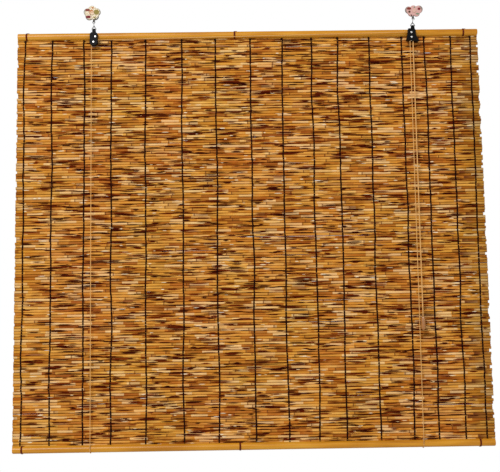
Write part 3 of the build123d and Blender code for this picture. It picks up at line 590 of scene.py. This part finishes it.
jointed = add(tree, "ShaderNodeMix", {SHARE: joint, LOWER: grained, UPPER: JOINT_BROWN}, data_type="RGBA")
# Painted shade in the seams between the reeds: in patches along each stem, deepest on the undersides.
seam_shade_patches = add(tree, "ShaderNodeTexNoise", {"Vector": stem, "Scale": 1 / SEAM_SHADE_PATCH, "Detail": 2.0})
seam_shade_patchy = add(tree, "ShaderNodeMapRange", {"Value": seam_shade_patches, "From Min": 0.38, "From Max": 0.6})
deep_seam_shade = add(tree, "ShaderNodeMath", {0: seam_shade_mask, 1: 2.0}, operation="POWER")
seam_shade_share = add(tree, "ShaderNodeMath", {0: deep_seam_shade, 1: seam_shade_patchy}, operation="MULTIPLY")
seam_shaded = add(
    tree, "ShaderNodeMix", {SHARE: seam_shade_share, LOWER: jointed.outputs[MIXED], UPPER: SEAM_SHADE}, data_type="RGBA"
)
tree.links.new(seam_shaded.outputs[MIXED], surface.inputs["Base Color"])
relief = {"Strength": 0.3, "Distance": 0.0002, "Height": fine}
add(tree, "ShaderNodeBump", relief, into=surface.inputs["Normal"])

# Rings along a reed have a place, a swelling and a share of the joint's brown.
FIRST_STATION = (0.02, 0.05)
STATION_SPACING = 0.042
END_MARGIN = 0.012
FIRST_JOINT = (0.03, 0.2)
JOINT_SPACING = (0.11, 0.2)
JOINT_RINGS = ((-0.0022, 1.0, 0.0), (0.0, 1.1, 1.0), (0.0016, 0.98, 0.25))
SLIT_RINGS = (-1, -0.5, 0, 0.5, 1)
CLOSEST_RINGS = 0.0008
# Share of the painted seam shade on a reed's upper side; the underside takes all of it.
UPPER_SEAM_SHADE = 0.7


def reed_rings(index, left, right, rng):
    """Places along a reed: plain stations, three at each joint and five at each slit beside it."""
    rings = [(left, 1.0, 0.0)]
    x = left + rng.uniform(*FIRST_STATION)
    next_joint = left + rng.uniform(*FIRST_JOINT)
    while x < right - END_MARGIN:
        if x > next_joint:
            rings += [(x + along, swell, brown) for along, swell, brown in JOINT_RINGS]
            next_joint = x + rng.uniform(*JOINT_SPACING)
        else:
            rings.append((x, 1.0, 0.0))
        x += STATION_SPACING
    for middle in slits.get(index, []) + slits.get(index + 1, []):
        rings += [(middle + share * SLIT_HALF, 1.0, 0.0) for share in SLIT_RINGS]
    rings.sort()
    apart = [ring for ring, after in zip(rings, rings[1:]) if after[0] - ring[0] > CLOSEST_RINGS]
    return apart + [(right, 1.0, 0.0)]


def extruded(bm, edges):
    """Extrudes a loop of edges on the spot. Gives the new corners and edges."""
    grown = bmesh.ops.extrude_edge_only(bm, edges=edges)["geom"]
    corners = [part for part in grown if isinstance(part, bmesh.types.BMVert)]
    return corners, [part for part in grown if isinstance(part, bmesh.types.BMEdge)]


def place_ring(loop, index, was, ring, joint_layer, seam_shade_layer):
    """Moves a loop of corners to one ring of a stem and gives that ring's middle."""
    x, swell, brown = ring
    y, z = reed_centre(index, x)
    radius = reed_radius(index, x) * swell
    for v in loop:
        side = Vector((0, (v.co.y - was.y) / REED_FLATNESS, v.co.z - was.z)).normalized()
        v.co = (x, y + side.y * radius * REED_FLATNESS, z + side.z * radius)
        v[joint_layer] = brown
        # Painted seam shade: full on the underside, less on the upper side, none on the front.
        v[seam_shade_layer] = -side.z if side.z < 0 else UPPER_SEAM_SHADE * side.z
    return Vector((x, y, z))


def make_reed(index, rng):
    """One stem as a mesh of its own: an oval ring, extruded from place to place."""
    left = -MAT_REACH + LEFT_RAGGED * scatter(index * index, 0.618) ** 3
    right = MAT_REACH - RAGGED_END * scatter(index * index, 0.414) ** 3
    bm = bmesh.new()
    number_layer = bm.verts.layers.float.new("reed_number")
    joint_layer = bm.verts.layers.float.new("reed_joint")
    seam_shade_layer = bm.verts.layers.float.new("reed_seam_shade")
    sideways = Matrix.Rotation(math.radians(90), 4, "Y")
    end = bmesh.ops.create_circle(bm, cap_ends=True, segments=REED_SIDES, radius=1.0, matrix=sideways)
    loop = end["verts"]
    edges = list(bm.edges)
    was = Vector((0, 0, 0))
    for step, ring in enumerate(reed_rings(index, left, right, rng)):
        if step:
            loop, edges = extruded(bm, edges)
        was = place_ring(loop, index, was, ring, joint_layer, seam_shade_layer)
    bmesh.ops.contextual_create(bm, geom=edges)
    for v in bm.verts:
        v[number_layer] = index * NUMBER_STEP
    bmesh.ops.recalc_face_normals(bm, faces=bm.faces)
    for face in bm.faces:
        face.smooth = len(face.verts) == 4
    return as_mesh(bm, "one_reed")


def bundle(meshes):
    """One bmesh of many small meshes. Each is grown apart, because a long bmesh grows slowly."""
    whole = bmesh.new()
    for mesh in meshes:
        whole.from_mesh(mesh)
        bpy.data.meshes.remove(mesh)
    return whole


def shorten(piece):
    """Gives a hanging piece a mesh of its own."""
    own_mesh(piece)


rng = random.Random(7)
bm = bundle(make_reed(index, rng) for index in range(REED_COUNT))
reeds = finished(bm, "reeds", reed_skin)
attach(reeds, "head")
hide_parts("reed_mat")
shorten(reeds)

# Leaf sheaths
# Scraps of the leaf sheath that stay on the stems, papery, thin and without gloss. They are short
# and pointed, mostly red-brown to dark brown, some bleached nearly white. Dark scraps that turn into
# the seams between the reeds are also painted shade there.

SHEATHS = {"front": (29, 0.0), "back": (6, math.pi)}  # scraps on a reed, and the way they face
SHEATH_LIFT = 0.00022
SHEATH_SINK = -0.0001
SHEATH_POINT = 0.2
# A scrap turns this far either way from its face, so some dark scraps lie in the seams between reeds as
# painted shade.
SHEATH_TURN = 1.0
SHEATH_CELLS = 3
RIM_START = 0.9
BROWN_SHARE = 0.86
BROWN_SCRAP = ((0.0, 0.76), (0.012, 0.056), (0.3, 0.72))
BLEACHED_SCRAP = ((0.8, 1.0), (0.006, 0.018), (0.2, 0.4))
SHEATH_VEIN = 1 / 1300  # 0.8 mm
SHEATH_VEIN_STRETCH = (0.05, 1.0, 1.0)
# The dark tones are the sheath's own brown, and painted shade where a scrap lies in a seam between reeds. The
# pale ones are bleached sheath.
SHEATH_AND_SHADE_TONES = [
    (0.0, "#2e0400"), (0.35, "#4b0f00"), (0.6, "#671e00"),
    (0.74, "#8a3d0a"), (0.8, "#f0c78a"), (1.0, "#ffeccc"),
]

sheath_and_shade_skin, tree, surface = new_material("dried_leaf_sheath_and_painted_shade", 0.7, 1.5, shine=0.04)
place = add(tree, "ShaderNodeTexCoord").outputs["Object"]
tone = add(tree, "ShaderNodeAttribute", attribute_name="sheath_tone").outputs["Fac"]
brown = add(tree, "ShaderNodeValToRGB", {"Fac": tone}, SHEATH_AND_SHADE_TONES)
papery_at = add(tree, "ShaderNodeMapping", {"Vector": place, "Scale": SHEATH_VEIN_STRETCH})
papery = add(tree, "ShaderNodeTexNoise", {"Vector": papery_at, "Scale": 1 / SHEATH_VEIN, "Detail": 3.0})
vein_range = {"From Min": 0.3, "From Max": 0.7, "To Min": 0.6, "To Max": 1.1}
vein = add(tree, "ShaderNodeMapRange", {"Value": papery, **vein_range})
veined = {"Color": brown, "Value": vein}
add(tree, "ShaderNodeHueSaturation", veined, into=surface.inputs["Base Color"])
relief = {"Strength": 0.4, "Distance": 0.0002, "Height": papery}
add(tree, "ShaderNodeBump", relief, into=surface.inputs["Normal"])


def add_sheath(bm, layer, index, x, length, turn, reach, tone):
    """A scrap bent round its reed, its edges sunk just under the skin, its ends drawn to a point."""
    grid = bmesh.ops.create_grid(bm, x_segments=SHEATH_CELLS, y_segments=SHEATH_CELLS, size=1.0)
    for v in grid["verts"]:
        along, across = v.co.x, v.co.y
        at_end = abs(along) > RIM_START
        at_rim = at_end or abs(across) > RIM_START
        px = x + along * length / 2
        y, z = reed_centre(index, px)
        angle = turn + across * reach * (SHEATH_POINT if at_end else 1.0)
        radius = reed_radius(index, px) + (SHEATH_SINK if at_rim else SHEATH_LIFT)
        v.co = (px, y - radius * REED_FLATNESS * math.cos(angle), z + radius * math.sin(angle))
        v[layer] = tone


def scrap_sizes(rng):
    """Tone, length and reach round the stem: six in seven brown and long, the rest bleached."""
    ranges = BROWN_SCRAP if rng.random() < BROWN_SHARE else BLEACHED_SCRAP
    return [rng.uniform(*limits) for limits in ranges]


def scraps_on_reed(index, count, facing, rng):
    """The scraps of one reed, as a mesh of their own."""
    bm = bmesh.new()
    layer = bm.verts.layers.float.new("sheath_tone")
    for scrap in range(count):
        tone, length, reach = scrap_sizes(rng)
        edge = MAT_REACH - RAGGED_END - length / 2
        turn = facing + rng.uniform(-SHEATH_TURN, SHEATH_TURN)
        add_sheath(bm, layer, index, rng.uniform(-edge, edge), length, turn, reach, tone)
    return as_mesh(bm, "one_reed_scraps")


for title, (per_reed, facing) in SHEATHS.items():
    rng = random.Random(11)
    bm = bundle(scraps_on_reed(index, per_reed, facing, rng) for index in range(REED_COUNT))
    for face in bm.faces:
        face.smooth = True
    scraps = finished(bm, f"leaf_sheaths_and_shade_{title}", sheath_and_shade_skin)
    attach(scraps, "head")
    shorten(scraps)

# Warp cords
# Dark brown cotton yarn in pairs. One yarn passes in front of a reed while the other passes
# behind, and they change places between the reeds. Each pair starts in a knot below the rail.

YARN_HALF_WIDTH = 0.00185
YARN_HALF_THICKNESS = 0.00055
YARN_SIDES = 6
YARN_SWING = REED_RADIUS * REED_FLATNESS + YARN_HALF_THICKNESS
YARN_SQUARENESS = 0.6
STATIONS_PER_REED = 4
SLOW_WANDER = 0.003
SLOW_WAVES = 8
QUICK_WANDER = 0.0012
QUICK_WAVES = 60
PAIRS_UNLIKE = 50
STITCH_KNOT = (0.0024, 0.0014, 0.002)
STITCH_KNOT_DROP = 0.0028
YARN_WAVES = 220.0  # a strand every 1.4 mm
YARN_TWIST = (0, math.radians(35), 0)
YARN_TONES = [(0.1, "#0e0201"), (0.85, "#2c0a06")]

warp_yarn, tree, surface = new_material("dyed_cotton_yarn", 0.8, 1.53, shine=0.08)
place = add(tree, "ShaderNodeTexCoord").outputs["Object"]
twisted = add(tree, "ShaderNodeMapping", {"Vector": place, "Rotation": YARN_TWIST})
waves = {"Vector": twisted, "Scale": YARN_WAVES, "Distortion": 2.0}
strand_height = add(tree, "ShaderNodeTexWave", waves).outputs[0]
add(tree, "ShaderNodeValToRGB", {"Fac": strand_height}, YARN_TONES, surface.inputs["Base Color"])
relief = {"Strength": 0.6, "Distance": 0.0003, "Height": strand_height}
add(tree, "ShaderNodeBump", relief, into=surface.inputs["Normal"])


def yarn_place(x, top, z, phase):
    """Sideways wander and depth of a yarn's middle at a height."""
    row = (MAT_TOP - z) / REED_PITCH - 0.5
    wave = math.cos(math.pi * row + phase)
    swing = YARN_SWING * math.copysign(abs(wave) ** YARN_SQUARENESS, wave)
    wander = SLOW_WANDER * noise.noise(Vector((x * PAIRS_UNLIKE, z * SLOW_WAVES, 0)))
    wander += QUICK_WANDER * noise.noise(Vector((x, z * QUICK_WAVES, 5)))
    return wander, -MAT_DEPTH - swing


def yarn(x, top, bottom, phase):
    """A flat yarn that weaves from the front of one reed to the back of the next."""
    bm = bmesh.new()
    flat = Matrix.Translation((x, 0, top))
    ring = bmesh.ops.create_circle(bm, cap_ends=True, segments=YARN_SIDES, radius=1.0, matrix=flat)
    loop = ring["verts"]
    for v in loop:
        v.co = ((v.co.x - x) * YARN_HALF_WIDTH + x, v.co.y * YARN_HALF_THICKNESS, top)
    edges = list(bm.edges)
    steps = round((top - bottom) / REED_PITCH * STATIONS_PER_REED)
    drop = (top - bottom) / steps
    last = Vector((0, 0, 0))
    for step in range(steps + 1):
        if step:
            loop, edges = extruded(bm, edges)
        now = Vector((*yarn_place(x, top, top - step * drop, phase), -drop * step))
        bmesh.ops.translate(bm, verts=loop, vec=now - last)
        last = now
    bmesh.ops.contextual_create(bm, geom=edges)
    return as_mesh(bm, "one_yarn")


for name in WARP_NAMES:
    low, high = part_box(name)
    x = middle_of(name)[0]
    bm = bundle(yarn(x, high.z, low.z, phase) for phase in (0.0, math.pi))
    knot = bmesh.ops.create_icosphere(bm, subdivisions=2, radius=1.0)
    bmesh.ops.scale(bm, verts=knot["verts"], vec=STITCH_KNOT)
    knot_place = (x, -MAT_DEPTH - YARN_SWING, high.z - STITCH_KNOT_DROP)
    bmesh.ops.translate(bm, verts=knot["verts"], vec=knot_place)
    bmesh.ops.recalc_face_normals(bm, faces=bm.faces)
    for face in bm.faces:
        face.smooth = True
    piece = finished(bm, f"{name}_yarns", warp_yarn)
    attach(piece, "head")
    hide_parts(name)
    shorten(piece)

# Pulley blocks
# Injection-moulded black acetal: a back plate with the neck, and a front shell. The surface is
# slightly waxy, with a moulded grain that is drawn coarser than real, to show.

MOULD_GRAIN = 1 / 2200  # 0.5 mm
ACETAL_TONES = [(0.3, "#040405"), (0.7, "#0c0c0e")]

acetal, tree, surface = new_material("black_acetal_moulded", 0.5, 1.48, shine=0.1)
place = add(tree, "ShaderNodeTexCoord").outputs["Object"]
mould = add(tree, "ShaderNodeTexNoise", {"Vector": place, "Scale": 1 / MOULD_GRAIN, "Detail": 2.0})
add(tree, "ShaderNodeValToRGB", {"Fac": mould}, ACETAL_TONES, surface.inputs["Base Color"])
relief = {"Strength": 0.15, "Distance": 0.0001, "Height": mould}
add(tree, "ShaderNodeBump", relief, into=surface.inputs["Normal"])
dress([f"{side}_block_{part}" for side in ("left", "right") for part in ("plate", "cover")], acetal)

# Rivets, screws and nuts
# Stainless steel, cold headed and tumbled bright. The heads shine nearly white, with faint marks
# from the tumbling.

TUMBLE_MARK = 1 / 2600  # 0.4 mm
STEEL_TONES = [(0.3, "#d2d1ce"), (0.7, "#f1f0ee")]

bright_steel, tree, surface = new_material("stainless_steel_headed", 0.38, metallic=1.0)
place = add(tree, "ShaderNodeTexCoord").outputs["Object"]
marks = add(tree, "ShaderNodeTexNoise", {"Vector": place, "Scale": 1 / TUMBLE_MARK, "Detail": 2.0})
add(tree, "ShaderNodeValToRGB", {"Fac": marks}, STEEL_TONES, surface.inputs["Base Color"])
dress(["left_block_screw", "left_screw_nut", "left_sheave_rivet"], bright_steel)
dress(["right_axle_bolt", "right_bolt_nut", "lock_cam_rivet"], bright_steel)

# Sheaves and lock cam
# Turned from cast nylon, off-white, and held by their pins inside the blocks. Light enters them a
# little, so they have a soft warm shade, with fine marks from the cutting.

CUTTING_MARK = 1 / 1200  # 0.8 mm
NYLON_TONES = [(0.3, "#d9d5c8"), (0.7, "#ece9df")]

nylon, tree, surface = new_material(
    "cast_nylon_turned", 0.42, 1.53, subsurface_weight=0.15, subsurface_scale=0.001
)
place = add(tree, "ShaderNodeTexCoord").outputs["Object"]
cut = add(tree, "ShaderNodeTexNoise", {"Vector": place, "Scale": 1 / CUTTING_MARK, "Detail": 2.0})
add(tree, "ShaderNodeValToRGB", {"Fac": cut}, NYLON_TONES, surface.inputs["Base Color"])
dress(["left_sheave", "right_sheave_inner", "right_sheave_outer", "lock_cam"], nylon)

# Lift cords
# Twisted cotton cord of three plies, matt and tan. Shade is painted dark into the grooves between
# the plies. Each is knotted in the back lath and runs down behind the mat, under the bottom rail in a
# sling and up in front to its sheave.

CORD_RADIUS = 0.0008
CORD_SIDES = 8
CORD_PLIES = 3
CORD_LAY = 0.0042
# The darkest tone is painted shade in the grooves between the plies.
CORD_TONES = [(0.0, "#a8702c"), (0.35, "#d99d52"), (1.0, "#ecbb78")]

cotton_cord, tree, surface = new_material("twisted_cotton_cord", 0.8, 1.53, shine=0.2, sheen_weight=0.1)
unrolled = add(tree, "ShaderNodeUVMap", uv_map="cord")
run_and_turn = add(tree, "ShaderNodeSeparateXYZ", {0: unrolled})
turns = add(tree, "ShaderNodeMath", {0: run_and_turn, 1: 1 / CORD_LAY}, operation="MULTIPLY")
spiral = add(tree, "ShaderNodeMath", {0: turns, 1: run_and_turn.outputs["Y"]}, operation="ADD")
plies = add(tree, "ShaderNodeMath", {0: spiral, 1: CORD_PLIES * math.pi}, operation="MULTIPLY")
groove = add(tree, "ShaderNodeMath", {0: plies}, operation="SINE")
depth = add(tree, "ShaderNodeMath", {0: groove}, operation="ABSOLUTE")
add(tree, "ShaderNodeValToRGB", {"Fac": depth}, CORD_TONES, surface.inputs["Base Color"])
relief = {"Strength": 0.7, "Distance": 0.0003, "Height": depth}
add(tree, "ShaderNodeBump", relief, into=surface.inputs["Normal"])


def grow_cord(bm, run):
    """Extrudes a ring along the run. Gives each corner's step along it and place in its ring."""
    upright = (run[1] - run[0]).to_track_quat("Z", "Y").to_matrix().to_4x4()
    start = Matrix.Translation(run[0]) @ upright
    ring = bmesh.ops.create_circle(bm, cap_ends=True, segments=CORD_SIDES, radius=CORD_RADIUS, matrix=start)
    loop = ring["verts"]
    edges = list(bm.edges)
    stations = {v: (0, turn) for turn, v in enumerate(loop)}
    before = (run[1] - run[0]).normalized()
    for step in range(1, len(run)):
        ahead = (run[min(step + 1, len(run) - 1)] - run[step - 1]).normalized()
        bend = before.rotation_difference(ahead).to_matrix().to_4x4()
        turn_of = {v: stations[v][1] for v in loop}
        loop, edges = extruded(bm, edges)
        for v in loop:
            source = next(e.other_vert(v) for e in v.link_edges if e.other_vert(v) in turn_of)
            stations[v] = (step, turn_of[source])
        shift = Matrix.Translation(run[step]) @ bend @ Matrix.Translation(-run[step - 1])
        bmesh.ops.transform(bm, matrix=shift, verts=loop)
        before = ahead
    bmesh.ops.contextual_create(bm, geom=edges)
    return stations


def unroll_cord(bm, uv, run, stations):
    """Writes each corner's length along the cord and its share of a turn to the UV map."""
    lengths = [0.0]
    for a, b in zip(run, run[1:]):
        lengths.append(lengths[-1] + (b - a).length)
    for face in bm.faces:
        turns = [stations[v][1] for v in face.verts]
        wraps = max(turns) - min(turns) > CORD_SIDES / 2
        for corner in face.loops:
            step, turn = stations[corner.vert]
            turn = turn + CORD_SIDES if wraps and turn == 0 else turn
            corner[uv].uv = (lengths[step], turn / CORD_SIDES)


def cord_tube(name, points):
    """Round cord along given points, with its length and its turn kept in a UV map."""
    run = [Vector(point) for point in points]
    bm = bmesh.new()
    uv = bm.loops.layers.uv.new("cord")
    stations = grow_cord(bm, run)
    bmesh.ops.recalc_face_normals(bm, faces=bm.faces)
    unroll_cord(bm, uv, run, stations)
    for face in bm.faces:
        face.smooth = len(face.verts) == 4
    return finished(bm, name, cotton_cord)


def nurbs_line(points):
    """Places along the smooth line that a route's points control."""
    route = bpy.data.curves.new("route", "CURVE")
    route.dimensions = "3D"
    spline = route.splines.new("NURBS")
    spline.points.add(len(points) - 1)
    for point, place in zip(spline.points, points):
        point.co = (*place, 1.0)
    spline.order_u = 3
    spline.use_endpoint_u = True
    holder = bpy.data.objects.new("route", route)
    line = bpy.data.meshes.new_from_object(holder)
    places = [v.co.copy() for v in line.vertices]
    bpy.data.objects.remove(holder)
    bpy.data.curves.remove(route)
    bpy.data.meshes.remove(line)
    return places


ANCHOR_DEPTH = 0.0078
ANCHOR_OFFSET = 0.004
KNOT_RADIUS = 0.0016
BACK_RUN = 0.0034
FRONT_RUN = 0.0236
CORD_GAP = 0.0003
SHEAVE_ENTRY = 0.002
RAIL_Z = middle_of("head_rail_front")[2]
RAIL_LOW, RAIL_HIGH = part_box("head_rail_front")
UNDER_Z = BOTTOM_RAIL_Z - (RAIL_HIGH.z - RAIL_LOW.z) / 2 - CORD_RADIUS - CORD_GAP


def back_length(side, anchor_x, strand_x):
    """From the knot in the back lath down behind the mat to the bottom rail."""
    back = cord_tube(f"{side}_lift_cord_back", nurbs_line([
        (anchor_x, -ANCHOR_DEPTH, RAIL_Z),
        (anchor_x, -BACK_RUN, RAIL_Z),
        (anchor_x, -BACK_RUN, RAIL_Z - ANCHOR_DEPTH + BACK_RUN),
        (strand_x, -BACK_RUN, BOTTOM_RAIL_Z),
    ]))
    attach(back, "head")
    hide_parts(f"{side}_lift_cord")
    shorten(back)
    return back


def sling_length(side, strand_x):
    """Under the bottom rail from back to front, which rises with it."""
    sling = cord_tube(f"{side}_lift_cord_sling", nurbs_line([
        (strand_x, -BACK_RUN, BOTTOM_RAIL_Z),
        (strand_x, -BACK_RUN, UNDER_Z),
        (strand_x, -FRONT_RUN, UNDER_Z),
        (strand_x, -FRONT_RUN, BOTTOM_RAIL_Z),
    ]))
    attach(sling, "bottom_rail")
    return sling


def front_length(side, strand_x, sheave):
    """From the bottom rail up in front of the mat to the groove of its sheave."""
    sheave_y, sheave_z = middle_of(sheave)[1:]
    top_z = sheave_z - SHEAVE_ENTRY
    front = cord_tube(f"{side}_lift_cord_front", nurbs_line([
        (strand_x, -FRONT_RUN, BOTTOM_RAIL_Z),
        (strand_x, (sheave_y - FRONT_RUN) / 2, (BOTTOM_RAIL_Z + top_z) / 2),
        (strand_x, sheave_y, top_z),
    ]))
    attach(front, "head")
    shorten(front)
    return front


def anchor_knot(side, anchor_x):
    """The knot that holds the cord in its pocket in the back lath."""
    pocket = Matrix.Translation((anchor_x, -ANCHOR_DEPTH, RAIL_Z))
    bm = bmesh.new()
    bmesh.ops.create_icosphere(bm, subdivisions=2, radius=KNOT_RADIUS, matrix=pocket)
    knot = finished(bm, f"{side}_lift_cord_knot", cotton_cord)
    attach(knot, "head")
    return knot


for side, sheave in (("left", "left_sheave"), ("right", "right_sheave_outer")):
    strand_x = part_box(f"{side}_lift_cord")[1].x - CORD_RADIUS
    anchor_x = strand_x - ANCHOR_OFFSET
    back = back_length(side, anchor_x, strand_x)
    sling = sling_length(side, strand_x)
    front = front_length(side, strand_x, sheave)
    for piece in (back, sling, front, anchor_knot(side, anchor_x)):
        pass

# Cords over the sheaves
# The left cord runs taut along the head rail to the cord lock, the right one turns there over
# its own sheave. Both come down from the lock, one behind the other, as the pull cords.

INNER_Y = middle_of("right_sheave_inner")[1]
OUTER_Y = middle_of("right_sheave_outer")[1]
ROUTES = {
    "crossing_cord": [
        (-0.3393, INNER_Y, -0.0757),
        (-0.3393, INNER_Y, -0.06897),
        (-0.3326, INNER_Y, -0.06887),
        (0.3517, INNER_Y, -0.05853),
        (0.3572, INNER_Y, -0.05845),
        (0.3572, INNER_Y, -0.0639),
    ],
    "turning_cord": [
        (0.3503, OUTER_Y, -0.0639),
        (0.3503, OUTER_Y, -0.0584),
        (0.3573, OUTER_Y, -0.0584),
        (0.3573, OUTER_Y, -0.0639),
    ],
}

for name, route in ROUTES.items():
    piece = cord_tube(f"{name}_run", nurbs_line(route))
    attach(piece, "head")
    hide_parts(name)

# Pull cords
# The ends of both cords hang free below the lock, one behind the other. Both end in the knob, which
# comes down with them as they are pulled.

for order, depth_y in (("inner", INNER_Y), ("outer", OUTER_Y)):
    name = f"pull_cord_{order}"
    low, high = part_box(name)
    x = middle_of(name)[0]
    top = Vector((x, depth_y, high.z))
    foot = Vector((x, depth_y, low.z))
    line = nurbs_line([top, (top + foot) / 2, foot])
    pull = cord_tube(f"{name}_run", line)
    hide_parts(name)
    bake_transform(pull)

# Pull knob
# A small drop turned from beech, with two holes for the cords. It is stained honey brown and
# varnished to a gloss, with the year lines running along it.

WOOD_LINE = 1 / 900  # 1.1 mm
WOOD_STRETCH = (1.0, 1.0, 0.08)
WOOD_TONES = [(0.3, "#8a5424"), (0.7, "#bd8246")]

turned_wood, tree, surface = new_material("turned_beech_varnished", 0.32, 1.5, coat_weight=0.4)
place = add(tree, "ShaderNodeTexCoord").outputs["Object"]
upright = add(tree, "ShaderNodeMapping", {"Vector": place, "Scale": WOOD_STRETCH})
years = add(tree, "ShaderNodeTexNoise", {"Vector": upright, "Scale": 1 / WOOD_LINE, "Detail": 4.0})
add(tree, "ShaderNodeValToRGB", {"Fac": years}, WOOD_TONES, surface.inputs["Base Color"])
dress(["pull_knob"], turned_wood)
